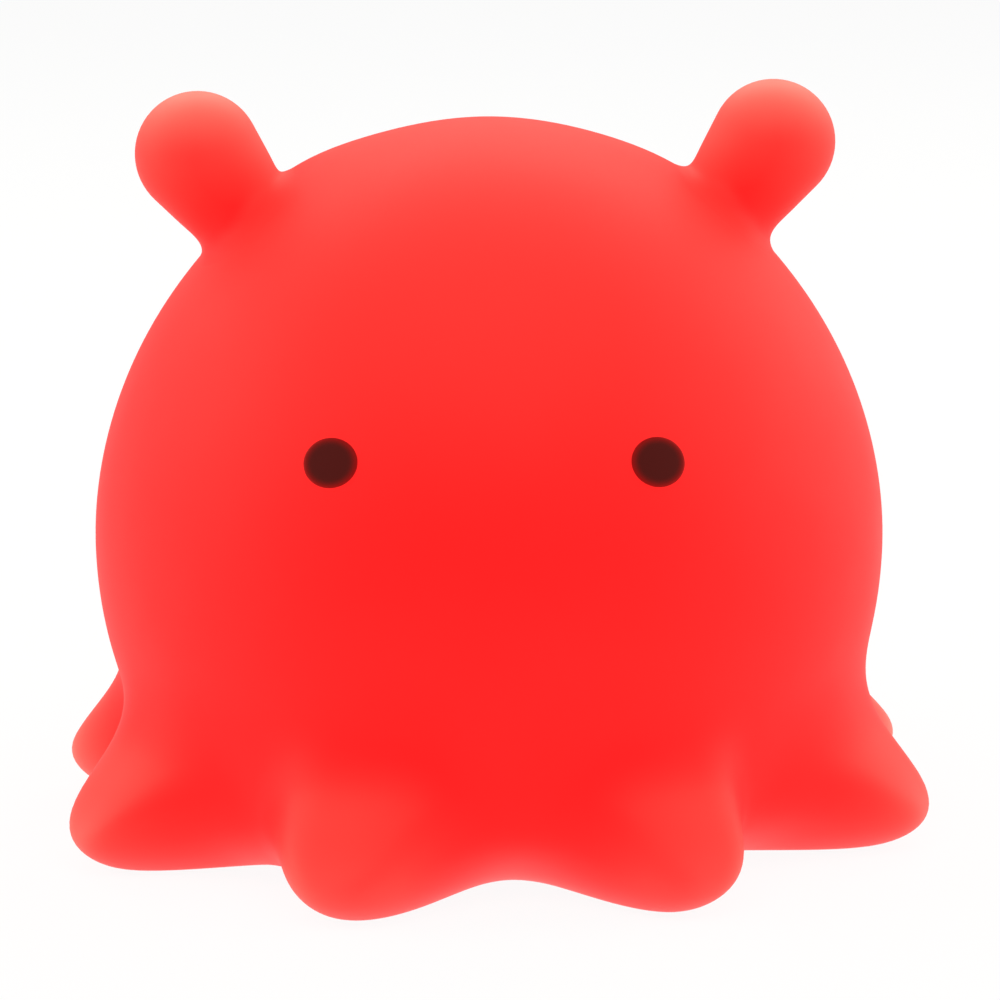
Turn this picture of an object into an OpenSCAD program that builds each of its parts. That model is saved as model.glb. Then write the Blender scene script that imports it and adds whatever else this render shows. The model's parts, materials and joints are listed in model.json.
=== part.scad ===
// Soft moulded octopus toy: a hollow mantle on a ring of eight webbed arms, with two head fins,
// inlaid eyes and a squeaker pressed into the base. Millimetres, +Z up, the face looks along -Y,
// and the origin is on the ground under the middle of the toy.

/* [Mantle] */
// Radius of the mantle at its widest level
mantle_r = 38.5; // [34:0.5:44]
// Height of the widest level above the ground
mantle_z = 28.8; // [26:0.1:33]
// Height of the crown above the widest level
crown_h = 40.6; // [34:0.1:48]
// Fullness of the shoulders, where 2 is an ellipse
crown_power = 1.93; // [1.7:0.01:2.3]
// Radius of the mantle where it meets the ground
foot_r = 27.1; // [23:0.1:30]
// Thickness of the moulded skin
wall = 2.4; // [1.6:0.1:3.2]
// Thickness of the flat underside
floor_t = 2.4; // [1.8:0.1:3.2]

/* [Arms] */
// How far the arms stand out of the mantle, measured at the ground
arm_reach = 16.2; // [12:0.1:20]
// Height at which the arms run out into the mantle
arm_top = 21.2; // [18:0.1:24]
// How fast the arms thin with height, where more is faster
arm_fall = 1.57; // [1.2:0.01:1.8]
// How narrow the arms are, where more is narrower
arm_narrow = 0.97; // [0.7:0.01:1.6]
// How blunt the ends of the arms are, where more is blunter
arm_blunt = 1.56; // [1.2:0.02:2.2]
// Share of the reach that the webs keep between two arms
web = 0.25; // [0.15:0.01:0.35]
// Radius of the rounding along the bottom edge, at the ends of the arms
foot_round = 4.3; // [3:0.1:5]
// How much larger that rounding is under the flanks of the arms, as a share of it
flank_rounder = 1.36; // [0.8:0.02:1.6]
// How much larger that rounding is under the webs, as a share of it
web_rounder = 0.83; // [0.4:0.01:1]
// How far the mould's arms and fins are turned from the face, in degrees
mould_turn = 3.8; // [-10:0.1:10]
// How far outside the mantle an arm bends, at the arms' top
arm_stub = 0.3; // [0.2:0.05:1.5]

/* [Fins] */
// Lean of the fins from upright, in degrees
fin_lean = 36.5; // [28:0.1:46]
// How far the middle of a fin's round end stands out of the mantle
fin_out = 7.4; // [7:0.1:12]
// Radius of the fin's round end
fin_tip_r = 6.1; // [5:0.1:7.5]
// Radius of the fin's neck
fin_neck_r = 4.6; // [3.5:0.1:5.2]
// How far a fin bends each way, in degrees
fin_flex = 18; // [5:1:22]

/* [Eyes] */
// Diameter of an eye
eye_d = 5; // [3:0.1:7]
// Height of the eyes above the widest level
eye_up = 12.9; // [6:0.1:20]
// Turn of each eye from the middle of the face, in degrees
eye_turn = 24.5; // [16:0.1:34]
// Depth of the eye inlay
eye_depth = 1.2; // [0.8:0.1:1.5]

/* [Squeaker] */
// Diameter of the squeaker's barrel
squeaker_d = 12; // [9:0.5:16]
// Height of the squeaker's barrel
squeaker_h = 8; // [6:0.5:12]
// Width of the flange round the barrel
flange_w = 2; // [1.2:0.1:3]
// Thickness of the flange
flange_t = 0.9; // [0.6:0.1:1.2]
// Height of the flange above the ground, so that the toy never rests on it
flange_lift = 0.3; // [0.2:0.05:0.4]
// Wall of the barrel
barrel_wall = 1.2; // [0.8:0.1:2]
// Diameter of the air hole in the barrel's bottom
air_hole_d = 3; // [2:0.1:5]
// Thickness of the cap and of the barrel's bottom
cap_t = 1.2; // [0.8:0.1:2]
// Width of the ledge that the cap rests on
cap_ledge = 0.6; // [0.4:0.1:0.9]
// Width of the reed
reed_w = 2.4; // [1.5:0.1:3.5]
// Thickness of the reed
reed_t = 0.3; // [0.2:0.05:0.6]
// How far the reed laps over the edges of its slot
reed_lap = 0.5; // [0.3:0.05:0.6]

/* [Clearances] */
// Gap between two stretches of skin that flex against each other
flex_gap = 0.3; // [0.2:0.05:0.5]
// Gap round a piece that sits in a pocket
seat_gap = 0.1; // [0.05:0.05:0.2]

/* [Hidden] */
ARM_COUNT = 8;
SIDES_PER_ARM = 10;
SIDES_OF_ARM = 16;
SKIRT_ROWS = 12;
LINING_ROWS = 6;
ARM_ROWS = 11;
CROWN_STEPS = 24;
// How much closer together the rows lie near the ground, where 1 is not at all
ROW_CROWDING = 1.5;
$fn = 96;

arm_step = 360 / ARM_COUNT;
// Half-height of the ellipse that the lower mantle follows, from its radii at the two levels
lower_h = mantle_z / sqrt(1 - pow(foot_r / mantle_r, 2));
// The skirt ends just below the widest level and the crown starts just above it
skirt_z = mantle_z - flex_gap / 2;
// Inside radius of the skirt's foot, which holds the base floor, inside the webs' bottom edges
floor_r = skin_r(arm_step / 2, 0) - wall;
barrel_r = squeaker_d / 2;
flange_r = barrel_r + flange_w;
barrel_top = flange_lift + squeaker_h;
bore_r = barrel_r - barrel_wall;
reed_l = 2 * (bore_r - cap_ledge);
skin_red = [1, 0.2, 0.2];
eye_brown = [0.2, 0.07, 0.07];
insert_white = [0.93, 0.92, 0.88];
reed_brass = [0.8, 0.65, 0.35];

// Turn of an arm from the front, towards +X
function arm_turn(i) = mould_turn + arm_step * (i - 0.5);

// Direction in plan of a turn from the front, towards +X
function ahead(turn) = [sin(turn), -cos(turn)];

// Outside radius of the mantle's lower half at a height
function lower_r(z) = mantle_r * sqrt(max(0, 1 - pow((mantle_z - z) / lower_h, 2)));

// How far the arms stand out of the mantle at a height, along their middle lines
function reach_at(z) = arm_reach * pow((1 + cos(180 * min(1, z / arm_top))) / 2, arm_fall);

// How far an angle from an arm's middle line goes towards the middle of a web, from 0 to 1
function dip(a) = (1 - cos(ARM_COUNT * a)) / 2;

// Share of the reach at an angle from an arm's middle line
function lobe(a) = web + (1 - web) * pow(1 - pow(dip(a), arm_blunt), arm_narrow);

// Radius of the bottom rounding at an angle from an arm's middle line
function rounding(a) =
    foot_round * (1 + flank_rounder * 4 * dip(a) * (1 - dip(a)) + web_rounder * pow(dip(a), 2));

// How far a rounding of a radius draws the bottom edge in at a height
function drawn_in(radius, z) = z < radius ? radius - sqrt(z * (2 * radius - z)) : 0;

// Outside radius of the skin below the widest level, at an angle from an arm's middle line
function skin_r(a, z) = lower_r(z) + reach_at(z) * lobe(a) - drawn_in(rounding(a), z);

// Angle from the nearest arm's middle line, for an angle from the first one
function from_arm(a) = a - arm_step * round(a / arm_step);

// Points round the crown's half outline, drawn in by a thickness
function crown_outline(inset) = [
    for (i = [0 : CROWN_STEPS])
        let (t = 90 * i / CROWN_STEPS, e = 2 / crown_power)
        [(mantle_r - inset) * pow(cos(t), e), mantle_z + (crown_h - inset) * pow(sin(t), e)]
];

// Distance from the mantle's middle to its crown surface along a lean from upright
function crown_at(lean) = pow(
    pow(sin(lean) / mantle_r, crown_power) + pow(cos(lean) / crown_h, crown_power), -1 / crown_power);

// Distance from the axis of the flat face that an arm bends at, just outside the mantle
arm_root = lower_r(arm_top) + arm_stub;

// How far a fin's flexing point stands out of the mantle, to stay clear of it past the full bend
flex_margin = 6;
fin_lift = (fin_neck_r + flex_gap) * sin(fin_flex + flex_margin);

// Distance of the eyes from the axis, and the rise of the skin's outward normal there
eye_share = eye_up / crown_h;
eye_r = mantle_r * pow(1 - pow(eye_share, crown_power), 1 / crown_power);
eye_rise = atan2(
    pow(eye_share, crown_power - 1) / crown_h, pow(eye_r / mantle_r, crown_power - 1) / mantle_r);

// Triangles between neighbouring rings of a closed grid, where the last ring meets the first
function closed_grid(rings, sides) = [
    for (j = [0 : rings - 1], i = [0 : sides - 1])
        let (a = j * sides + i, b = j * sides + (i + 1) % sides)
        let (c = (a + sides) % (rings * sides), d = (b + sides) % (rings * sides))
        each [[a, c, b], [b, c, d]]
];

// The upper mantle as a filled dome, drawn in by a thickness
module dome(inset = 0) {
    rotate_extrude() polygon(concat([[0, mantle_z]], crown_outline(inset)));
}

// Places children at a fin's flexing point, with +Z out along the fin
module at_fin(side) {
    rotate([0, 0, mould_turn])
        translate([0, 0, mantle_z])
            rotate([0, side * fin_lean, 0])
                translate([0, 0, crown_at(fin_lean) + fin_lift]) children();
}

// Places children at an eye's middle on the skin, with +Z straight out of the skin
module at_eye(side) {
    rotate([0, 0, side * eye_turn])
        translate([0, -eye_r, mantle_z + eye_up])
            rotate([90 - eye_rise, 0, 0]) children();
}

// Upper half of the skin, with a socket for each fin and a pocket for each eye
module mantle_crown() {
    socket_r = fin_neck_r + flex_gap;
    color(skin_red) difference() {
        union() {
            difference() {
                dome();
                dome(wall);
            }
            for (side = [-1, 1])
                intersection() {
                    at_fin(side) sphere(socket_r + wall);
                    dome();
                }
        }
        for (side = [-1, 1]) {
            at_fin(side) sphere(socket_r);
            at_eye(side) translate([0, 0, -eye_depth]) cylinder(d = eye_d + 2 * seat_gap, h = 2 * eye_depth);
        }
        translate([0, 0, mantle_z - flex_gap / 2])
            cylinder(r = mantle_r + wall, h = flex_gap);
    }
}

// Outside radius of the skirt: the skin, cut off flat where each arm starts
function skirt_r(a, z) = z < arm_top ? min(skin_r(a, z), (arm_root - flex_gap / 2) / cos(a)) : skin_r(a, z);

// One ring of the skirt's outside at a height
function skirt_ring(z) = [
    for (k = [0 : ARM_COUNT * SIDES_PER_ARM - 1])
        let (a = k * arm_step / SIDES_PER_ARM, p = ahead(a + arm_turn(1)), r = skirt_r(from_arm(a), z))
        [r * p.x, r * p.y, z]
];

// One ring of the skirt's lining, of a radius and at a height
function lining_ring(r, z) = [
    for (k = [0 : ARM_COUNT * SIDES_PER_ARM - 1])
        let (p = ahead(k * arm_step / SIDES_PER_ARM + arm_turn(1)))
        [r * p.x, r * p.y, z]
];

// Lower half of the skin, with the roots of the arms and the webs between them
module skirt_wall() {
    heights = [for (j = [0 : SKIRT_ROWS]) skirt_z * pow(j / SKIRT_ROWS, ROW_CROWDING)];
    linings = [for (j = [LINING_ROWS : -1 : 0]) floor_t + (skirt_z - floor_t) * j / LINING_ROWS];
    outside = [for (z = heights) skirt_ring(z)];
    inside = [for (z = linings) lining_ring(lower_r(z) - wall, z)];
    rings = concat(outside, inside, [for (z = [floor_t, 0]) lining_ring(floor_r, z)]);
    color(skin_red) polyhedron([for (r = rings) each r], closed_grid(len(rings), ARM_COUNT * SIDES_PER_ARM));
}

// Flat underside inside the skirt's foot, with a stepped hole for the squeaker
module base_floor() {
    color(skin_red) difference() {
        cylinder(r = floor_r - seat_gap, h = floor_t);
        translate([0, 0, -floor_t]) cylinder(r = barrel_r + seat_gap, h = 3 * floor_t);
        translate([0, 0, -floor_t]) cylinder(r = flange_r + seat_gap, h = floor_t + flange_lift + flange_t);
    }
}

// The whole sector of skin round an arm's middle line, which points along -Y
module arm_sector() {
    steps = SIDES_OF_ARM;
    angles = [for (k = [0 : steps]) arm_step * (k / steps - 0.5)];
    heights = [for (j = [0 : ARM_ROWS]) arm_top * pow(j / ARM_ROWS, ROW_CROWDING)];
    rows = len(heights);
    skin = [for (z = heights, a = angles) let (p = ahead(a), r = skin_r(a, z)) [r * p.x, r * p.y, z]];
    axis = [for (z = heights) [0, 0, z]];
    hub = len(skin);
    function at(j, k) = j * (steps + 1) + k;
    outside = [for (j = [0 : rows - 2], k = [0 : steps - 1])
        each [[at(j, k), at(j + 1, k), at(j, k + 1)], [at(j, k + 1), at(j + 1, k), at(j + 1, k + 1)]]];
    sides = [for (j = [0 : rows - 2])
        each [
            [hub + j, hub + j + 1, at(j, 0)], [at(j, 0), hub + j + 1, at(j + 1, 0)],
            [at(j, steps), at(j + 1, steps), hub + j], [hub + j, at(j + 1, steps), hub + j + 1]
        ]];
    ends = [for (k = [0 : steps - 1])
        each [[hub, at(0, k), at(0, k + 1)], [hub + rows - 1, at(rows - 1, k + 1), at(rows - 1, k)]]];
    polyhedron(concat(skin, axis), concat(outside, sides, ends));
}

// One arm: the skin that lies beyond its root
module arm(i) {
    start = arm_root + flex_gap / 2;
    span = mantle_r + arm_reach;
    color(skin_red) rotate([0, 0, arm_turn(i)]) intersection() {
        arm_sector();
        translate([-span / 2, -start - span, -wall]) cube([span, span, arm_top + 2 * wall]);
    }
}

// One head fin: a round end on a narrower neck, rounded where it flexes in its socket
module fin(side) {
    length = fin_out - fin_lift;
    slope = asin((fin_tip_r - fin_neck_r) / length);
    color(skin_red) at_fin(side) rotate_extrude() intersection() {
        union() {
            circle(fin_neck_r);
            translate([0, length]) circle(fin_tip_r);
            polygon([
                [0, 0],
                fin_neck_r * [cos(slope), -sin(slope)],
                [0, length] + fin_tip_r * [cos(slope), -sin(slope)],
                [0, length]
            ]);
        }
        translate([0, -fin_neck_r]) square([fin_tip_r, length + fin_neck_r + fin_tip_r]);
    }
}

// One eye: a round inlay whose face is flush with the skin
module eye(side) {
    color(eye_brown) intersection() {
        at_eye(side) translate([0, 0, -eye_depth]) cylinder(d = eye_d, h = 2 * eye_depth);
        dome($fn = 360);
    }
}

// Squeaker insert: a flanged barrel with an air hole in its bottom and a step for the cap
module squeaker_body() {
    color(insert_white) difference() {
        union() {
            translate([0, 0, flange_lift]) cylinder(r = flange_r, h = flange_t);
            translate([0, 0, flange_lift]) cylinder(r = barrel_r, h = squeaker_h);
        }
        cylinder(d = air_hole_d, h = squeaker_h);
        translate([0, 0, flange_lift + cap_t]) cylinder(r = bore_r - cap_ledge, h = squeaker_h);
        translate([0, 0, barrel_top - cap_t]) cylinder(r = bore_r, h = squeaker_h);
    }
}

// Slotted disc in the top of the squeaker's barrel
module squeaker_cap() {
    slot = [reed_l - 2 * reed_lap, reed_w - 2 * reed_lap];
    color(insert_white) difference() {
        translate([0, 0, barrel_top - cap_t]) cylinder(r = bore_r - seat_gap / 2, h = cap_t);
        translate([-slot.x / 2, -slot.y / 2, barrel_top - 2 * cap_t]) cube([slot.x, slot.y, 3 * cap_t]);
    }
}

// Thin tongue that lies over the cap's slot and sounds when air passes
module squeaker_reed() {
    color(reed_brass) translate([-reed_l / 2, -reed_w / 2, barrel_top]) cube([reed_l, reed_w, reed_t]);
}

mantle_crown();
skirt_wall();
base_floor();
for (i = [1 : ARM_COUNT])
    arm(i);
fin(-1);  // left_fin
fin(1);  // right_fin
eye(-1);  // left_eye
eye(1);  // right_eye
squeaker_body();
squeaker_cap();
squeaker_reed();
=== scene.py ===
"""Looks of a soft moulded octopus toy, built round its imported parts.

Metres, +Z up. The face looks along -Y, and the toy stands on the ground at Z = 0.
"""
import json
import math

import bpy
import numpy as np
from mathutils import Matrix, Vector


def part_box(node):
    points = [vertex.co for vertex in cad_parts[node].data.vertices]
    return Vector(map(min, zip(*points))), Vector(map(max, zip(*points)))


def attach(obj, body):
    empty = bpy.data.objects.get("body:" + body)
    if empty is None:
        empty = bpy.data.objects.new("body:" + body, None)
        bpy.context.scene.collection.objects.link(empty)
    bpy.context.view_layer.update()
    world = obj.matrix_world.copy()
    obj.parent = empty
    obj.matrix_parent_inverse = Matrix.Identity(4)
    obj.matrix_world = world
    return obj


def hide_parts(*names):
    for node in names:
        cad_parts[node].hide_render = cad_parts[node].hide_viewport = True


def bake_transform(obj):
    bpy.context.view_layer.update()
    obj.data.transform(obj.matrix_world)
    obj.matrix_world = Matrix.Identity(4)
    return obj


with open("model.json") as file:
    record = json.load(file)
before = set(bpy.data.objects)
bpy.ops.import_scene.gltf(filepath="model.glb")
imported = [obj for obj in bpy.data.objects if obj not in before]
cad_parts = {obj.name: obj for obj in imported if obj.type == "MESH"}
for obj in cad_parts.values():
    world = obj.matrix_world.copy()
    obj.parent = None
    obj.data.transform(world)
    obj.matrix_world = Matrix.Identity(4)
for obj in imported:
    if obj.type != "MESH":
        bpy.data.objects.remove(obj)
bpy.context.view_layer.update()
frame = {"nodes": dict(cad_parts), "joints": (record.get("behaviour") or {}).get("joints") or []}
scene = bpy.context.scene
joints = {joint["name"]: joint for joint in frame["joints"]}
MM = 0.001
ARM_COUNT = 8
ARM_STEP = 2 * math.pi / ARM_COUNT

# Mantle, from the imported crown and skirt
crown_low, crown_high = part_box("mantle_crown")
mantle_r = crown_high.x
widest = (crown_low.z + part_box("skirt_wall")[1].z) / 2
crown_h = crown_high.z - widest
mantle_middle = Vector((0, 0, widest))
crown_fullness = 1.93
foot_r = 27.1 * MM
skin_wall = 2.4 * MM

# Shoulders: low swellings on the crown, inside the fins
left_shoulder_rise = 0.85 * MM
right_shoulder_rise = 0.5 * MM
shoulder_lean = math.radians(27.7)
shoulder_spread = math.radians(11.3)

# Arms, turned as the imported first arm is. From above they are a rounded wave round the mantle:
# bluntness fills its tops, narrowness thins them, and the ridge thins them more towards an arm's top
arm_reach = 16.2 * MM
arm_top = 21.2 * MM
arm_fall = 1.57
arm_narrowness = 0.97
arm_bluntness = 1.56
arm_ridge = 1
web_share = 0.25
bottom_rounding = 4.3 * MM
# The bottom edge is rounder under an arm's flanks and under the webs, by these shares
flank_roundness = 1.36
web_roundness = 0.83
# In the photograph each arm swings a little aside and reaches a little more or less than the rest,
# and the web before it is fuller or thinner. Higher up, arms and webs swing to other places
arm_swing = [math.radians(angle) for angle in (-1.5, 2, 2, 0, 0, 0, 3, -0.3)]
high_arm_swing = [math.radians(angle) for angle in (2, 2, 2, 0, 0, 0, 3, -2.5)]
high_web_swing = [math.radians(angle) for angle in (0, -6, 0, 0, 0, 0, 0, 3)]
swing_height = 9 * MM
arm_extra = [extra * MM for extra in (0.1, -0.6, 1.9, 0, 0, -0.8, 0.5, 1.1)]
web_extra = [extra * MM for extra in (0, 0.8, -2, 0, 0, 0, -5.1, 2.5)]
first_arm = Vector(joints["arm_1_lift"]["pos_m"])
first_arm_turn = math.atan2(first_arm.x, -first_arm.y)
mould_turn = first_arm_turn - ARM_STEP / 2

# Where the skin is cut into the underside, the arms and the mantle
underside_r = 17.5 * MM
arm_cut = 19 * MM

# Points of the skin's grid
columns_per_arm = 56
under_rows = 8
edge_rows = 14
side_rows = 26
band_rows = 14
crown_rows = 60

# Fins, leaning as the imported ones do. A foot flares by an angle from the fin's line, more at its front
# and back, is pulled up from the crown into the neck, and sinks a hair into the crown
fin_lean = (Vector(joints["right_fin_flex"]["pos_m"]) - mantle_middle).angle(Vector((0, 0, 1)))
fin_own_lean = {"left_fin": math.radians(0.42), "right_fin": math.radians(-0.5)}
fin_tip_reach = {"left_fin": 46.85 * MM, "right_fin": 47.1 * MM}
fin_tip_r = 6.05 * MM
fin_taper = math.radians(9)
fin_neck_reach = 43 * MM
fin_flare = math.radians(10.1)
fin_front_flare = math.radians(4.5)
fin_pull = 2.5 * MM
fin_broad_pull = 0.8
fin_sink = 0.04 * MM
# A small step of angle over the crown, which tells the slope under a fin's foot
foot_slope_step = 0.01

# Eyes: half their width and height, their edge and depth in the skin, and how far in their red rim fades
eye_wide = 2.84 * MM
eye_tall = 2.44 * MM
eye_proud = 0.1 * MM
eye_edge = 0.35 * MM
eye_wall = 0.8 * MM
eye_rim = 0.9 * MM

# Squeaker seat in the underside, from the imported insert
seat_clearance = 0.1 * MM
flange_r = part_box("squeaker_body")[1].x + seat_clearance
underside_wall = 1.2 * MM
seat_roof = 1.2 * MM
barrel_r = 6.15 * MM
seat_rounding = 0.5 * MM

# Painted highlight: the vinyl's colour is painted paler where it stands out or faces up, in place of light
# falling there, as shares of the highlight tint
arm_painted_highlight = 0.18
arm_side_painted_highlight = 0.36
rear_arm_painted_highlight = 0.36
rear_depth = 10 * MM
ridge_painted_highlight = 0.2
ridge_spot_painted_highlight = 0.3
ridge_spot_height = 10.5 * MM
ridge_spot_spread = 3 * MM
ridge_begin = 0.3
front_ridge_share = 0.6
side_ridge_share = 0.95
side_ridge_gain = 0.75
fin_painted_highlight = 0.22
fin_top_painted_highlight = 0.68
fin_pale_from = 40 * MM
fin_pale_to = 52 * MM
foot_painted_highlight = 0.2
foot_pale_from = 38 * MM
foot_pale_to = 42 * MM
crown_painted_highlight = 0.23

# Painted bounce light: the colour is painted paler along thin lower edges, most on the front web, in place of
# light and reflection from the floor, as shares of its tint
edge_painted_bounce = 0.3
edge_depth = 2.5 * MM
thin_edge_painted_bounce = 0.35
thin_edge_depth = 1.2 * MM
web_edge_painted_bounce = 0.3
front_web_edge_painted_bounce = 0.55
web_painted_bounce = 0.12
front_web_painted_bounce = 0.26
web_painted_bounce_height = 3.5 * MM
web_painted_bounce_spread = 2 * MM
# Under a web the painted bounce light is full from this much overhang on, and what faces down more flatly
# than this gets less of it
overhang = 0.3
flat_underside = 1 / 3

# Slow drifts of tint and gloss over a moulded surface, in waves per metre
tint_waves = 60
gloss_waves = 90

# Camera, where the photograph was taken from
camera_rise = math.radians(11.23)
camera_turn = math.radians(-0.85)
camera_distance = 518.2 * MM
aim_right = 1.07 * MM
aim_up = 3 * MM
lens_mm = 190.2
sensor_mm = 36

# Light, a little warm. The table light lies between the floor and the toy's underside
lamp_colour = (1, 0.97, 0.86)
surround_strength = 0.35
table_light_level = -0.05 * MM

# Floor: its level, half its width, its paint and how much of what the camera sees of it is plain white
floor_level = -0.1 * MM
floor_half = 4.0
floor_paint = 0.85
floor_white = 0.93


# Arithmetic on the fields of a geometry node tree
class Field:
    """A number that varies over a mesh inside a node tree."""

    def __init__(self, tree, socket):
        self.tree = tree
        self.socket = socket

    def __add__(self, other):
        return calc("ADD", self, other)

    def __radd__(self, other):
        return calc("ADD", other, self)

    def __sub__(self, other):
        return calc("SUBTRACT", self, other)

    def __rsub__(self, other):
        return calc("SUBTRACT", other, self)

    def __mul__(self, other):
        return calc("MULTIPLY", self, other)

    def __rmul__(self, other):
        return calc("MULTIPLY", other, self)

    def __truediv__(self, other):
        return calc("DIVIDE", self, other)

    def __rtruediv__(self, other):
        return calc("DIVIDE", other, self)

    def __pow__(self, other):
        return calc("POWER", self, other)


def calc(operation, *values):
    """One Math node that works on fields and plain numbers."""
    tree = next(value.tree for value in values if isinstance(value, Field))
    node = tree.nodes.new("ShaderNodeMath")
    node.operation = operation
    for slot, value in zip(node.inputs, values):
        if isinstance(value, Field):
            tree.links.new(value.socket, slot)
        else:
            slot.default_value = value
    return Field(tree, node.outputs[0])


def sin(angle):
    return calc("SINE", angle)


def cos(angle):
    return calc("COSINE", angle)


def positive(value):
    return calc("MAXIMUM", value, 0.0)


def between(value, low, high):
    return calc("MINIMUM", calc("MAXIMUM", value, low), high)


def root(value):
    return calc("SQRT", positive(value))


# Moulding: a flat grid of turns and stations is bent into a skin by a geometry node tree
def moulding_tree(name, size_names, shape, column_names=()):
    """A tree that moves each point of a grid to where shape puts it.

    The shape follows named sizes, and named values that the grid's columns carry.
    """
    tree = bpy.data.node_groups.new(name, "GeometryNodeTree")
    tree.interface.new_socket("Grid", in_out="INPUT", socket_type="NodeSocketGeometry")
    for size_name in size_names:
        tree.interface.new_socket(size_name, in_out="INPUT", socket_type="NodeSocketFloat")
    tree.interface.new_socket("Material", in_out="INPUT", socket_type="NodeSocketMaterial")
    tree.interface.new_socket("Skin", in_out="OUTPUT", socket_type="NodeSocketGeometry")
    inputs = tree.nodes.new("NodeGroupInput").outputs
    place = tree.nodes.new("ShaderNodeSeparateXYZ")
    tree.links.new(tree.nodes.new("GeometryNodeInputPosition").outputs[0], place.inputs[0])
    sizes = {size_name: Field(tree, inputs[size_name]) for size_name in size_names}
    for column_name in column_names:
        carried = tree.nodes.new("GeometryNodeInputNamedAttribute")
        carried.inputs["Name"].default_value = column_name
        sizes[column_name] = Field(tree, carried.outputs["Attribute"])
    moved = tree.nodes.new("ShaderNodeCombineXYZ")
    turn, station = (Field(tree, place.outputs[axis]) for axis in "XY")
    for slot, value in zip(moved.inputs, shape(turn, station, sizes)):
        tree.links.new(value.socket, slot)
    bend = tree.nodes.new("GeometryNodeSetPosition")
    realize = tree.nodes.new("GeometryNodeRealizeInstances")
    paint = tree.nodes.new("GeometryNodeSetMaterial")
    tree.links.new(inputs["Grid"], bend.inputs["Geometry"])
    tree.links.new(moved.outputs[0], bend.inputs["Position"])
    tree.links.new(bend.outputs[0], realize.inputs[0])
    tree.links.new(realize.outputs[0], paint.inputs["Geometry"])
    tree.links.new(inputs["Material"], paint.inputs["Material"])
    tree.links.new(paint.outputs[0], tree.nodes.new("NodeGroupOutput").inputs["Skin"])
    return tree


def moulded(tree, sizes, material, turns, stations, carried=None):
    """Points and normals, row by row, of the skin that a tree bends from turns and stations.

    The last station is the single point at the tip, which is returned in a row of its own. Carried
    values are lists with one number for each turn.
    """
    columns, rows = len(turns), len(stations) - 1
    points = [(turn, station, 0) for station in stations[:-1] for turn in turns]
    points.append((0, stations[-1], 0))
    faces = grid_faces(rows, columns, True)
    faces += [((rows - 1) * columns + k, (rows - 1) * columns + (k + 1) % columns, rows * columns)
              for k in range(columns)]
    flat = bpy.data.meshes.new(tree.name)
    flat.from_pydata(points, [], faces)
    for column_name, values in (carried or {}).items():
        column = flat.attributes.new(column_name, "FLOAT", "POINT")
        column.data.foreach_set("value", list(values) * rows + [0])
    blank = bpy.data.objects.new(tree.name, flat)
    scene.collection.objects.link(blank)
    modifier = blank.modifiers.new("Mould", "NODES")
    modifier.node_group = tree
    for item in tree.interface.items_tree:
        if item.in_out == "INPUT" and item.name in sizes:
            modifier[item.identifier] = sizes[item.name]
        if item.in_out == "INPUT" and item.name == "Material":
            modifier[item.identifier] = material
    skin = bpy.data.meshes.new_from_object(blank.evaluated_get(bpy.context.evaluated_depsgraph_get()))
    places = np.array([vertex.co for vertex in skin.vertices])
    normals = np.array([vertex.normal for vertex in skin.vertices])
    bpy.data.objects.remove(blank)
    bpy.data.meshes.remove(flat)
    bpy.data.meshes.remove(skin)
    grid = (rows, columns, 3)
    return (places[:-1].reshape(grid), normals[:-1].reshape(grid)), (places[-1], normals[-1])


def grid_faces(rows, columns, closed):
    """Faces between neighbouring points of a grid, which closes round its columns or doesn't."""
    return [(j * columns + k, j * columns + (k + 1) % columns,
             (j + 1) * columns + (k + 1) % columns, (j + 1) * columns + k)
            for j in range(rows - 1) for k in range(columns if closed else columns - 1)]


# Painted light on the skin, as paler colour in place of highlights and bounce light, worked out from where
# its points lie and which way they face
def ramp(value, low, high):
    """A share that grows from 0 at low to 1 at high."""
    return np.clip((value - low) / (high - low), 0, 1)


def hump(value, middle, spread):
    """A share that is 1 at the middle and fades to both sides."""
    return np.exp(-((value - middle) / spread) ** 2)


def past_mantle(points):
    """How far points lie outside the mantle, as a share of an arm's reach."""
    x, y, z = points.T
    lower_h = widest / math.sqrt(1 - (foot_r / mantle_r) ** 2)
    mantle = mantle_r * np.sqrt(1 - ((widest - np.clip(z, 0, widest)) / lower_h) ** 2)
    return ramp(np.hypot(x, y) - mantle, 0, arm_reach)


def fin_line(name):
    """Direction from the mantle's middle to a fin's packed joint."""
    return (Vector(joints[f"{name}_flex"]["pos_m"]) - mantle_middle).normalized()


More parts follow.
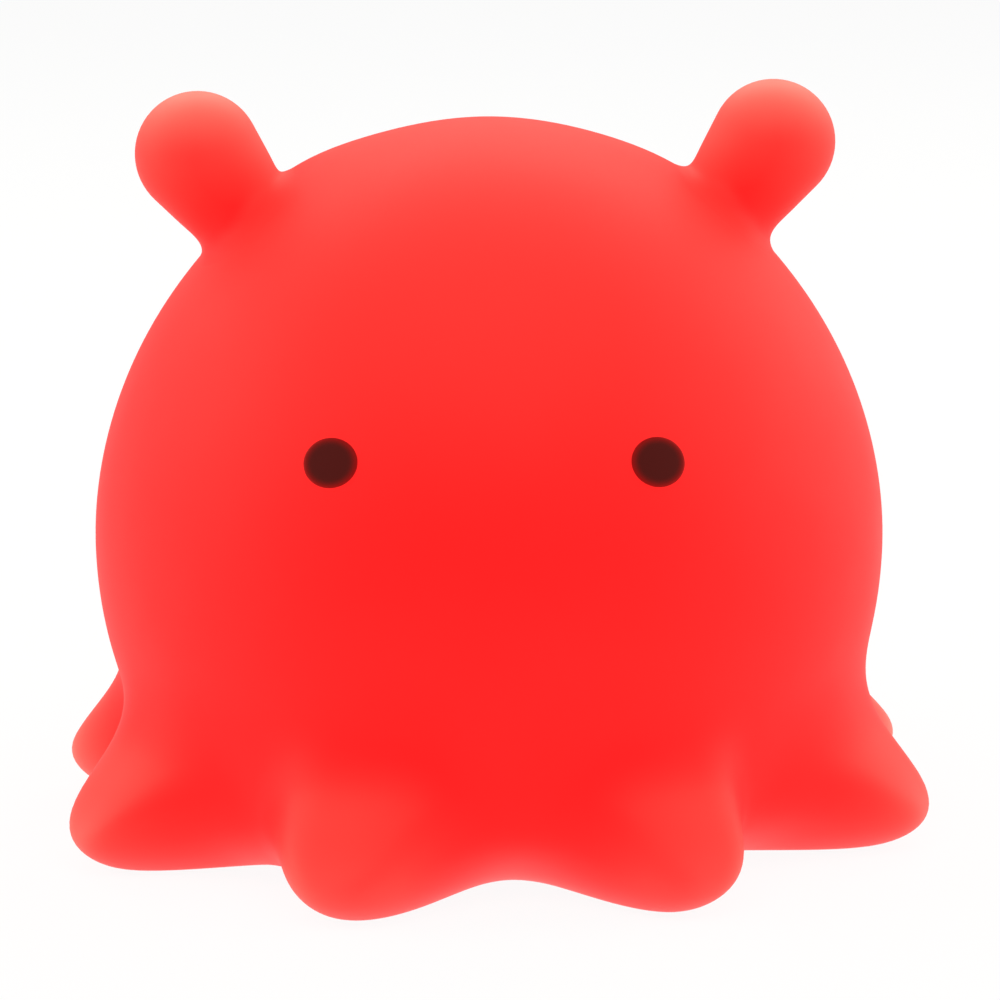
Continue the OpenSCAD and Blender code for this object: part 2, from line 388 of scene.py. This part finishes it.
def skin_painted_highlight(points, normals):
    """Painted highlight: paler colour on the arms, most on their ridges, on the fins and their feet, and on
    the crown's top, that stands in for light falling there.
    """
    x, y, z = points.T
    up = np.maximum(normals[:, 2], 0)
    outward = np.maximum(np.sign(x) * normals[:, 0], 0)
    inward = np.maximum(-np.sign(x) * normals[:, 0], 0)
    fall = ((1 + np.cos(ramp(z, 0, arm_top) * math.pi)) / 2) ** arm_fall
    arm = np.clip((past_mantle(points) - web_share * fall) / (1 - web_share), 0, 1)
    fin, foot = np.zeros(len(points)), np.zeros(len(points))
    for name in ("left_fin", "right_fin"):
        along = (points - np.array(mantle_middle)) @ np.array(fin_line(name))
        fin = np.maximum(fin, ramp(along, fin_pale_from, fin_pale_to))
        foot = np.maximum(foot, ramp(along, foot_pale_from, foot_pale_to))
    ridge = ridge_painted_highlight + ridge_spot_painted_highlight * hump(z, ridge_spot_height, ridge_spot_spread)
    ridge = ridge * np.minimum(front_ridge_share + side_ridge_gain * outward, side_ridge_share)
    painted_highlight = (arm_painted_highlight + arm_side_painted_highlight * normals[:, 0] ** 2) * arm ** 2
    painted_highlight += rear_arm_painted_highlight * arm * ramp(y, -rear_depth, rear_depth)
    painted_highlight += ridge * ramp(arm, 0, ridge_begin) * up ** 3
    painted_highlight += fin_painted_highlight * fin + fin_top_painted_highlight * fin * up ** 2 + foot_painted_highlight * inward * foot
    painted_highlight += crown_painted_highlight * np.where(z > widest, up ** 2, 0)
    return np.minimum(painted_highlight, 1)


def skin_painted_bounce(points, normals):
    """Painted bounce light: paler colour along the lower edges, and under the webs where they overhang, that
    stands in for light and reflection from the floor.
    """
    x, y, z = points.T
    inside = 1 - past_mantle(points)
    forward = np.maximum(-y / np.maximum(np.hypot(x, y), MM), 0) ** 4
    front_web = inside ** 2 * forward
    edge = edge_painted_bounce * (1 + front_web) * np.exp(-z / edge_depth)
    thin_edge = thin_edge_painted_bounce + web_edge_painted_bounce * inside ** 2 + front_web_edge_painted_bounce * front_web
    edge += thin_edge * np.exp(-z / thin_edge_depth)
    edge = edge * ramp(np.hypot(normals[:, 0], normals[:, 1]), 0, flat_underside)
    web = inside ** 4 * ramp(-normals[:, 2], 0, overhang) * hump(z, web_painted_bounce_height, web_painted_bounce_spread)
    return np.minimum(edge + web * (web_painted_bounce + front_web_painted_bounce * forward), 1)


def skin_painted_light(points, normals):
    """Painted light on the soft vinyl: painted highlight where it stands out or faces up, painted bounce
    light along thin lower edges.
    """
    return {"painted_highlight": skin_painted_highlight(points, normals), "painted_bounce": skin_painted_bounce(points, normals)}


# Shells
def skin_piece(name, outside, material, closed=True, tip=None, wall=skin_wall, tints=skin_painted_light):
    """A closed shell whose outside is a grid of points and normals, with an inner wall and rims."""
    points, normals = outside
    rows, columns = points.shape[:2]
    points, normals = points.reshape(-1, 3), normals.reshape(-1, 3)
    faces = grid_faces(rows, columns, closed)
    last = [(rows - 1) * columns + k for k in range(columns)]
    if tip is not None:
        points, normals = np.vstack([points, tip[0]]), np.vstack([normals, tip[1]])
        faces += [(last[k], last[(k + 1) % columns], rows * columns) for k in range(columns)]
    count = len(points)
    normals /= np.linalg.norm(normals, axis=1)[:, None]
    edges = [list(range(columns))]
    if tip is None:
        edges.append(last[::-1])
    if closed:
        edges = [edge + edge[:1] for edge in edges]
    else:
        edges.append([j * columns + columns - 1 for j in range(rows)])
        edges.append([j * columns for j in reversed(range(rows))])
    # An edge runs along its faces, so a rim that meets it runs the other way
    rims = [(b, a, a + count, b + count) for edge in edges for a, b in zip(edge, edge[1:])]
    lining = [tuple(count + corner for corner in reversed(face)) for face in faces]
    mesh = bpy.data.meshes.new(name)
    mesh.from_pydata(np.vstack([points, points - wall * normals]).tolist(), [], faces + lining + rims)
    mesh.materials.append(material)
    mesh.shade_smooth()
    for tint, shares in tints(points, normals).items():
        mesh.attributes.new(tint, "FLOAT", "POINT").data.foreach_set("value", np.tile(shares, 2))
    corner_normals = [normals[corner] for face in faces for corner in face]
    corner_normals += [-normals[corner - count] for face in lining for corner in face]
    first_rim = len(faces) + len(lining)
    corner_normals += [mesh.polygons[first_rim + k].normal for k in range(len(rims)) for _ in range(4)]
    mesh.normals_split_custom_set([tuple(normal) for normal in corner_normals])
    piece = bpy.data.objects.new(name, mesh)
    scene.collection.objects.link(piece)
    return piece


# Shapes of the moulded skins
def shoulder_growth(out, up, size):
    """Rise of the crown in a direction that goes so far out towards the right fin, and so far up."""
    rise = 0
    for name, side in (("Left Shoulder Rise", -1), ("Right Shoulder Rise", 1)):
        line = out * (sin(size["Shoulder Lean"]) * side) + up * cos(size["Shoulder Lean"])
        share = calc("ARCCOSINE", between(line, -1.0, 1.0)) / size["Shoulder Spread"]
        rise = rise + size[name] * calc("EXPONENT", share ** 2 * -1)
    return rise


def skin_shape(turn, station, size):
    """Underside at stations from -1 to 0, lower skin at heights above 0, then the crown to its top."""
    height = between(station, 0.0, size["Widest Height"])
    over = between((station - size["Widest Height"]) / size["Crown Height"], 0.0, 1.0) * (math.pi / 2)
    lower_h = size["Widest Height"] / root(1 - (size["Foot Radius"] / size["Mantle Radius"]) ** 2)
    mantle = size["Mantle Radius"] * root(1 - ((size["Widest Height"] - height) / lower_h) ** 2)
    rise = between(height / size["Arm Top"], 0.0, 1.0)
    fall = positive((1 + cos(rise * math.pi)) / 2) ** size["Arm Fall"]
    higher = between(height / size["Swing Height"], 0.0, 1.0)
    higher = higher ** 2 * (3 - 2 * higher)
    along = size["Low Phase"] + (size["High Phase"] - size["Low Phase"]) * higher
    dip = positive((1 - cos(along * (2 * math.pi))) / 2)
    # An arm narrows upwards, like a finger lying on the ground
    narrowness = size["Arm Narrowness"] * (1 + size["Arm Ridge"] * rise ** 2)
    lobe = positive(1 - dip ** size["Arm Bluntness"]) ** narrowness
    reach = size["Arm Reach"] * (size["Web Share"] + (1 - size["Web Share"]) * lobe)
    reach = reach + size["Arm Extra"] * lobe + size["Web Extra"] * (1 - lobe)
    rounder = size["Flank Roundness"] * dip * (1 - dip) * 4 + size["Web Roundness"] * dip ** 2
    rounding = size["Bottom Rounding"] * (1 + rounder)
    low = between(height / rounding, 0.0, 1.0)
    drawn_in = rounding * (1 - root(low * (2 - low)))
    bulge = 2 / size["Crown Fullness"]
    radius = (mantle + reach * fall - drawn_in) * positive(cos(over)) ** bulge
    edge = 1 + between(station, -1.0, 0.0)
    radius = size["Underside Radius"] + (radius - size["Underside Radius"]) * edge
    up = height - size["Widest Height"] + size["Crown Height"] * positive(sin(over)) ** bulge
    far = root(radius ** 2 + up ** 2)
    grown = 1 + shoulder_growth(radius * sin(turn - size["Mould Turn"]) / far, up / far, size) / far
    radius = radius * grown
    return radius * sin(turn), radius * cos(turn) * -1, size["Widest Height"] + up * grown


def fin_shape(around, station, size):
    """A flared foot on the crown at stations from 0 to 1, a tapered neck to 2 and a round end to 3."""
    lean = size["Lean"]

    def crown_foot(spread):
        """Radius and reach, along the fin, of a point of the crown at an angle from the fin's line."""
        across, ahead = sin(spread) * cos(around), cos(spread)
        aside = sin(spread) * sin(around)
        out = cos(lean) * across + sin(lean) * ahead
        up = cos(lean) * ahead - sin(lean) * across
        power = size["Crown Fullness"]
        flat = root(out ** 2 + aside ** 2) / size["Mantle Radius"]
        far = (flat ** power + (up / size["Crown Height"]) ** power) ** (-1 / power)
        far = far + shoulder_growth(out, up, size) - size["Sink"]
        return far * sin(spread), far * cos(spread)

    # The foot spreads further on the fin's broad front and back than at its sides
    broad = sin(around) ** 2
    flare = size["Flare"] + size["Front Flare"] * broad
    foot = crown_foot(flare)
    beyond = crown_foot(flare + foot_slope_step)
    slope = [a - b for a, b in zip(foot, beyond)]
    length = root(slope[0] ** 2 + slope[1] ** 2)
    taper = [sin(size["Taper"]), cos(size["Taper"])]
    shoulder = [size["Tip Radius"] * taper[1], size["Tip Reach"] - size["Tip Radius"] * taper[0]]
    drop = shoulder[1] - size["Neck Reach"]
    neck = [shoulder[0] - drop * taper[0] / taper[1], size["Neck Reach"]]
    pull = [foot[i] + slope[i] / length * size["Pull"] * (1 + broad * size["Broad Pull"]) for i in range(2)]
    hold = [neck[i] - taper[i] * size["Pull"] for i in range(2)]
    a = between(station, 0.0, 1.0)
    b = 1 - a
    up_neck = between(station - 1, 0.0, 1.0)
    round_end = between(station - 2, 0.0, 1.0) * (size["Taper"] + math.pi / 2) - size["Taper"]
    ball = [size["Tip Radius"] * cos(round_end), size["Tip Reach"] + size["Tip Radius"] * sin(round_end)]
    radius, reach = (
        foot[i] * b ** 3 + pull[i] * (3 * a * b ** 2) + hold[i] * (3 * a ** 2 * b) + neck[i] * a ** 3
        + (shoulder[i] - neck[i]) * up_neck + ball[i] - shoulder[i] for i in range(2))
    across = radius * cos(around)
    aside = radius * sin(around)
    out = cos(lean) * across + sin(lean) * reach
    up = cos(lean) * reach - sin(lean) * across
    turned = size["Mould Turn"]
    return (out * cos(turned) - aside * sin(turned), out * sin(turned) + aside * cos(turned),
            size["Widest Height"] + up)


shoulder_sizes = {
    "Left Shoulder Rise": left_shoulder_rise, "Right Shoulder Rise": right_shoulder_rise,
    "Shoulder Lean": shoulder_lean, "Shoulder Spread": shoulder_spread, "Mould Turn": mould_turn,
}


def steps(low, high, count):
    """Even steps from low up to, and without, high."""
    return [low + (high - low) * k / count for k in range(count)]


# Materials
def shader_group(name, inputs, outputs):
    """An empty shader node group with named number inputs and outputs."""
    group = bpy.data.node_groups.new(name, "ShaderNodeTree")
    for socket_name, value in inputs.items():
        socket = group.interface.new_socket(socket_name, in_out="INPUT", socket_type="NodeSocketFloat")
        socket.default_value = value
    for socket_name in outputs:
        group.interface.new_socket(socket_name, in_out="OUTPUT", socket_type="NodeSocketFloat")
    return group, group.nodes.new("NodeGroupInput").outputs, group.nodes.new("NodeGroupOutput").inputs


def noise(tree, coordinates, scale, detail):
    """A Noise Texture node on given coordinates."""
    node = tree.nodes.new("ShaderNodeTexNoise")
    node.inputs["Detail"].default_value = detail
    tree.links.new(coordinates, node.inputs["Vector"])
    if isinstance(scale, (int, float)):
        node.inputs["Scale"].default_value = scale
    else:
        tree.links.new(scale, node.inputs["Scale"])
    return node.outputs["Fac"]


def spread(tree, value, low, high):
    """A value from 0 to 1 spread between two others."""
    node = tree.nodes.new("ShaderNodeMapRange")
    tree.links.new(value, node.inputs["Value"])
    for socket_name, limit in (("To Min", low), ("To Max", high)):
        if isinstance(limit, (int, float)):
            node.inputs[socket_name].default_value = limit
        else:
            tree.links.new(limit, node.inputs[socket_name])
    return node.outputs["Result"]


def moulded_grain():
    """Fine pebbling from the mould and a slow drift in gloss, shared by every moulded material."""
    group, inputs, outputs = shader_group(
        "Moulded Grain", {"Grains per Metre": 2500, "Dullest": 0.6, "Glossiest": 0.5},
        ["Height", "Roughness"])
    place = group.nodes.new("ShaderNodeTexCoord").outputs["Object"]
    group.links.new(noise(group, place, inputs["Grains per Metre"], 3), outputs["Height"])
    drift = noise(group, place, gloss_waves, 2)
    group.links.new(spread(group, drift, inputs["Glossiest"], inputs["Dullest"]), outputs["Roughness"])
    return group


GRAIN = moulded_grain()


def moulded_material(name, pale, deep, dullest, glossiest, grains, grain_depth, layers=(), sockets=None):
    """A moulded plastic that drifts between two tints, with its grain and gloss from the shared group.

    Layers are more tints, each laid on by the share that an attribute of the piece gives. Sockets are
    values that are the same all over the surface.
    """
    material = bpy.data.materials.new(name)
    material.use_nodes = True
    tree = material.node_tree
    shader = tree.nodes["Principled BSDF"]
    for socket_name, value in (sockets or {}).items():
        shader.inputs[socket_name].default_value = value
    grain = tree.nodes.new("ShaderNodeGroup")
    grain.node_tree = GRAIN
    grain.inputs["Grains per Metre"].default_value = grains
    grain.inputs["Dullest"].default_value = dullest
    grain.inputs["Glossiest"].default_value = glossiest
    place = tree.nodes.new("ShaderNodeTexCoord").outputs["Object"]
    colour = tinted(tree, noise(tree, place, tint_waves, 2), deep, pale)
    for attribute_name, tint in layers:
        share = tree.nodes.new("ShaderNodeAttribute")
        share.attribute_name = attribute_name
        colour = tinted(tree, share.outputs["Fac"], colour, tint)
    tree.links.new(colour, shader.inputs["Base Color"])
    tree.links.new(grain.outputs["Roughness"], shader.inputs["Roughness"])
    bump = tree.nodes.new("ShaderNodeBump")
    bump.inputs["Strength"].default_value = 1
    bump.inputs["Distance"].default_value = grain_depth
    tree.links.new(grain.outputs["Height"], bump.inputs["Height"])
    tree.links.new(bump.outputs["Normal"], shader.inputs["Normal"])
    return material


def tinted(tree, share, under, over):
    """A colour, or a node's colour, covered by another one by a share."""
    mix = tree.nodes.new("ShaderNodeMix")
    mix.data_type = "RGBA"
    tree.links.new(share, mix.inputs["Factor"])
    if isinstance(under, tuple):
        mix.inputs["A"].default_value = (*under, 1)
    else:
        tree.links.new(under, mix.inputs["A"])
    mix.inputs["B"].default_value = (*over, 1)
    return mix.outputs["Result"]


# Its two attribute layers are painted light: a painted highlight, and painted bounce light from the floor,
# over the vinyl's own red
red_vinyl = moulded_material(
    "red_vinyl", pale=(1, 0.003, 0.008), deep=(1, 0.001, 0.004), dullest=0.64, glossiest=0.56,
    grains=2500, grain_depth=0.006 * MM, layers=[("painted_highlight", (1, 0.2, 0.16)), ("painted_bounce", (1, 0.19, 0.21))],
    sockets={"Specular IOR Level": 0.25, "Specular Tint": (1, 0.95, 0.8, 1)})
brown_vinyl = moulded_material(
    "brown_vinyl", pale=(0.07, 0.006, 0.005), deep=(0.06, 0.004, 0.003), dullest=0.62, glossiest=0.54,
    grains=3000, grain_depth=0.004 * MM, layers=[("rim", (0.38, 0.002, 0.002))],
    sockets={"Specular IOR Level": 0.06})
white_plastic = moulded_material(
    "white_plastic", pale=(0.85, 0.84, 0.78), deep=(0.8, 0.79, 0.72), dullest=0.45, glossiest=0.35,
    grains=4000, grain_depth=0.003 * MM)
reed_brass = moulded_material(
    "reed_brass", pale=(0.75, 0.55, 0.22), deep=(0.66, 0.47, 0.18), dullest=0.35, glossiest=0.25,
    grains=6000, grain_depth=0.001 * MM, sockets={"Metallic": 1})


# Mantle, arms and underside from one moulded skin
def arm_phases(turns, arm_swings, web_swings):
    """How far along the row of arms each turn is: an arm's middle is a whole number, a web's a half."""
    knots, phases = [], []
    for i in range(-1, ARM_COUNT + 2):
        web = mould_turn + i * ARM_STEP + web_swings[i % ARM_COUNT]
        arm = first_arm_turn + i * ARM_STEP + arm_swings[i % ARM_COUNT]
        knots += [web, arm]
        phases += [i - 0.5, i]
    return np.interp(turns, knots, phases)


def between_neighbours(turns, first_turn, values):
    """A value for each turn that goes smoothly between those given for the arms, or for the webs."""
    place = (np.array(turns) - first_turn) / ARM_STEP
    before = np.floor(place).astype(int)
    share = place - before
    low, high = np.array(values)[before % ARM_COUNT], np.array(values)[(before + 1) % ARM_COUNT]
    return low + (high - low) * (3 - 2 * share) * share ** 2


def lower_skin():
    """Cuts one skin into the mantle and the eight arms, and returns the skin's turns."""
    turns = steps(mould_turn, mould_turn + 2 * math.pi, ARM_COUNT * columns_per_arm)
    under = steps(-1, 0, under_rows)
    edge = [bottom_rounding * (1 - math.cos(angle)) for angle in steps(0, math.pi / 2, edge_rows)]
    sides = steps(bottom_rounding, arm_cut, side_rows)
    band = steps(arm_cut, widest, band_rows)
    crown = steps(widest, widest + crown_h, crown_rows) + [widest + crown_h]
    sizes = {
        "Mantle Radius": mantle_r, "Widest Height": widest, "Crown Height": crown_h,
        "Crown Fullness": crown_fullness, "Foot Radius": foot_r, "Arm Reach": arm_reach, "Arm Top": arm_top,
        "Arm Fall": arm_fall, "Arm Narrowness": arm_narrowness, "Arm Bluntness": arm_bluntness,
        "Arm Ridge": arm_ridge, "Web Share": web_share, "Bottom Rounding": bottom_rounding,
        "Flank Roundness": flank_roundness, "Web Roundness": web_roundness, "Swing Height": swing_height,
        "Underside Radius": underside_r, **shoulder_sizes,
    }
    carried = {
        "Low Phase": arm_phases(turns, arm_swing, [0] * ARM_COUNT),
        "High Phase": arm_phases(turns, high_arm_swing, high_web_swing),
        "Arm Extra": between_neighbours(turns, first_arm_turn, arm_extra),
        "Web Extra": between_neighbours(turns, mould_turn, web_extra),
    }
    tree = moulding_tree("Octopus Skin", sizes, skin_shape, carried)
    (points, normals), top = moulded(
        tree, sizes, red_vinyl, turns, under + edge + sides + band + crown, carried)
    cut = len(under + edge + sides)
    mantle = skin_piece("mantle_skin", (points[cut:], normals[cut:]), red_vinyl, tip=top)
    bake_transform(mantle)
    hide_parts("mantle_crown", "skirt_wall")
    for i in range(ARM_COUNT):
        own = np.arange(i * columns_per_arm, (i + 1) * columns_per_arm + 1) % len(turns)
        piece = skin_piece(
            f"arm_{i + 1}_skin", (points[:cut + 1, own], normals[:cut + 1, own]), red_vinyl, closed=False)
        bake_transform(piece)
        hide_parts(f"arm_{i + 1}")
    return turns


def underside(turns):
    """The flat bottom inside the arms, with a rounded seat round the squeaker's flange."""
    corner = [(flange_r + seat_rounding * (1 - math.cos(angle)), seat_rounding * (1 - math.sin(angle)))
              for angle in steps(0, math.pi / 2, 6)]
    profile = [(barrel_r, seat_roof), (flange_r, seat_roof), *corner, (flange_r + seat_rounding, 0)]
    profile += [(radius, 0) for radius in steps(flange_r + seat_rounding, underside_r, 12)[1:]]
    profile.append((underside_r, 0))
    points = np.array([[(r * math.sin(t), -r * math.cos(t), z) for t in turns] for r, z in profile])
    slopes = np.gradient(np.array(profile), axis=0)
    normals = np.array([[(dz * math.sin(t), -dz * math.cos(t), -dr) for t in turns] for dr, dz in slopes])
    piece = skin_piece("underside_skin", (points, normals), red_vinyl, wall=underside_wall)
    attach(piece, "base")
    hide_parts("base_floor")


def fins():
    """Two club-shaped fins whose flared feet run out into the crown."""
    around = steps(0, 2 * math.pi, 96)
    stations = steps(0, 1, 16) + steps(1, 2, 8) + steps(2, 3, 18) + [3]
    sizes = {
        "Mantle Radius": mantle_r, "Widest Height": widest, "Crown Height": crown_h,
        "Crown Fullness": crown_fullness, "Lean": fin_lean, "Tip Radius": fin_tip_r, "Tip Reach": 0,
        "Taper": fin_taper, "Neck Reach": fin_neck_reach, "Flare": fin_flare,
        "Front Flare": fin_front_flare, "Pull": fin_pull, "Broad Pull": fin_broad_pull, "Sink": fin_sink,
        **shoulder_sizes,
    }
    tree = moulding_tree("Head Fin", sizes, fin_shape)
    for name, side in (("left_fin", -1), ("right_fin", 1)):
        sizes["Lean"] = side * (fin_lean + fin_own_lean[name])
        sizes["Tip Reach"] = fin_tip_reach[name]
        outside, tip = moulded(tree, sizes, red_vinyl, around, stations)
        piece = skin_piece(f"{name}_skin", outside, red_vinyl, tip=tip)
        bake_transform(piece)
        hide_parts(name)


def on_crown(direction):
    """The crown's point and normal along a direction from the mantle's middle."""
    flat = math.hypot(direction.x, direction.y)
    share = (flat / mantle_r) ** crown_fullness + (direction.z / crown_h) ** crown_fullness
    point = direction * share ** (-1 / crown_fullness)
    out = (math.hypot(point.x, point.y) / mantle_r) ** (crown_fullness - 1) / mantle_r
    up = (point.z / crown_h) ** (crown_fullness - 1) / crown_h
    normal = Vector((out * point.x, out * point.y, up * math.hypot(point.x, point.y))).normalized()
    return mantle_middle + point, normal


def eyes():
    """Two inlays, a little wider than tall, that follow the skin and stand a hair proud of it."""
    around = steps(0, 2 * math.pi, 64)
    # Each ring is given by how far in from the edge it lies and how high it stands
    rim = [(eye_edge * (1 - math.cos(angle)), eye_proud - eye_edge * (1 - math.sin(angle)))
           for angle in steps(0, math.pi / 2, 8)]
    profile = rim + [(inward, eye_proud) for inward in steps(eye_edge, eye_tall, 10)]
    for name in ("left_eye", "right_eye"):
        low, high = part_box(name)
        middle, out = on_crown((low + high) / 2 - mantle_middle)
        across = Vector((0, 0, 1)).cross(out).normalized()
        upward = out.cross(across)
        points, normals = [], []
        for inward, rise in profile:
            row = []
            share = 1 - inward / eye_tall
            for angle in around:
                aside = across * (eye_wide * math.cos(angle)) + upward * (eye_tall * math.sin(angle))
                skin, normal = on_crown(middle + aside * share - mantle_middle)
                row.append(skin + normal * rise)
                tilt = max(0, 1 - inward / eye_edge)
                normals.append(normal * math.sqrt(1 - tilt * tilt) + aside.normalized() * tilt)
            points.append(row)
        points = np.array(points)
        outside = (points, np.array(normals).reshape(points.shape))
        rims = [max(0, 1 - inward / eye_rim) ** 2 for inward, _ in profile for _ in around] + [0]
        piece = skin_piece(f"{name}_inlay", outside, brown_vinyl, tip=(middle + out * eye_proud, out),
                           wall=eye_wall, tints=lambda points, normals: {"rim": rims})
        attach(piece, "crown")
        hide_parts(name)


def squeaker():
    """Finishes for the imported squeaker's three pieces."""
    for node, material in (("squeaker_body", white_plastic), ("squeaker_cap", white_plastic),
                           ("squeaker_reed", reed_brass)):
        mesh = frame["nodes"][node].data
        mesh.materials.clear()
        mesh.materials.append(material)


# Stage: floor, light and camera
def floor():
    """A pale floor that looks white, keeps the toy's soft shadow and is clear from below."""
    corners = [(x * floor_half, y * floor_half, floor_level) for x, y in ((-1, -1), (1, -1), (1, 1), (-1, 1))]
    mesh = bpy.data.meshes.new("floor")
    mesh.from_pydata(corners, [], [(0, 1, 2, 3)])
    material = bpy.data.materials.new("pale_floor")
    material.use_nodes = True
    tree = material.node_tree
    tree.nodes.clear()
    paint = tree.nodes.new("ShaderNodeBsdfDiffuse")
    paint.inputs["Color"].default_value = (floor_paint, floor_paint, floor_paint, 1)
    white = tree.nodes.new("ShaderNodeEmission")
    rays = tree.nodes.new("ShaderNodeLightPath")
    seen = rays.outputs["Is Camera Ray"]
    for ray in ("Is Glossy Ray", "Is Transmission Ray"):
        either = tree.nodes.new("ShaderNodeMath")
        either.operation = "MAXIMUM"
        tree.links.new(seen, either.inputs[0])
        tree.links.new(rays.outputs[ray], either.inputs[1])
        seen = either.outputs[0]
    share = tree.nodes.new("ShaderNodeMath")
    share.operation = "MULTIPLY"
    share.inputs[1].default_value = floor_white
    tree.links.new(seen, share.inputs[0])
    below = tree.nodes.new("ShaderNodeNewGeometry").outputs["Backfacing"]
    clear = tree.nodes.new("ShaderNodeBsdfTransparent")
    top, whole = tree.nodes.new("ShaderNodeMixShader"), tree.nodes.new("ShaderNodeMixShader")
    for mix, sources in ((top, (share.outputs[0], paint.outputs[0], white.outputs[0])),
                         (whole, (below, top.outputs[0], clear.outputs[0]))):
        for source, slot in zip(sources, mix.inputs):
            tree.links.new(source, slot)
    tree.links.new(whole.outputs[0], tree.nodes.new("ShaderNodeOutputMaterial").inputs["Surface"])
    mesh.materials.append(material)
    ground = bpy.data.objects.new("floor", mesh)
    scene.collection.objects.link(ground)


def softbox(name, place, aim, width, height, power, shape="RECTANGLE"):
    """A soft light at a place, aimed at a point."""
    lamp = bpy.data.lights.new(name, "AREA")
    lamp.shape = shape
    lamp.size = width
    lamp.size_y = height
    lamp.energy = power
    lamp.color = lamp_colour
    box = bpy.data.objects.new(name, lamp)
    box.location = place
    box.rotation_euler = (Vector(aim) - Vector(place)).to_track_quat("-Z", "Y").to_euler()
    scene.collection.objects.link(box)
    return box


def lights():
    """Soft boxes overhead, beside and behind the toy, a faint round table light and a dim surround."""
    world = bpy.data.worlds.new("surround")
    world.use_nodes = True
    world.node_tree.nodes["Background"].inputs["Color"].default_value = (1, 1, 1, 1)
    world.node_tree.nodes["Background"].inputs["Strength"].default_value = surround_strength
    scene.world = world
    softbox("over_front", (0, -0.4, 0.55), mantle_middle, width=0.7, height=0.35, power=2.06)
    softbox("over_back", (0, 0.45, 0.5), mantle_middle, width=0.8, height=0.4, power=2.08)
    softbox("left_side", (-0.6, 0, 0.25), mantle_middle, width=0.5, height=0.5, power=1.99)
    softbox("right_side", (0.6, 0, 0.25), mantle_middle, width=0.5, height=0.5, power=1.77)
    softbox("left_back", (-0.5, 0.4, 0.25), mantle_middle, width=0.5, height=0.5, power=0.51)
    softbox("right_back", (0.5, 0.4, 0.25), mantle_middle, width=0.5, height=0.5, power=1.07)
    table = softbox("table", (0, 0, table_light_level), (0, 0, 1), width=0.56, height=0.56, power=0.27,
                    shape="DISK")
    table.visible_camera = False


def camera():
    """A long lens at the photograph's place, aimed beside the mantle's middle as the photograph is."""
    back = Vector((math.sin(camera_turn) * math.cos(camera_rise),
                   -math.cos(camera_turn) * math.cos(camera_rise), math.sin(camera_rise)))
    right = Vector((0, 0, 1)).cross(back).normalized()
    up = back.cross(right)
    view = bpy.data.cameras.new("camera")
    view.lens = lens_mm
    view.sensor_width = sensor_mm
    view.clip_start = 0.01
    eye = bpy.data.objects.new("camera", view)
    eye.location = mantle_middle + back * camera_distance
    aim = mantle_middle + right * aim_right + up * aim_up
    eye.rotation_euler = (aim - eye.location).to_track_quat("-Z", "Y").to_euler()
    scene.collection.objects.link(eye)
    scene.camera = eye


camera()
underside(lower_skin())
fins()
eyes()
squeaker()
floor()
lights()
scene.view_settings.view_transform = "Standard"
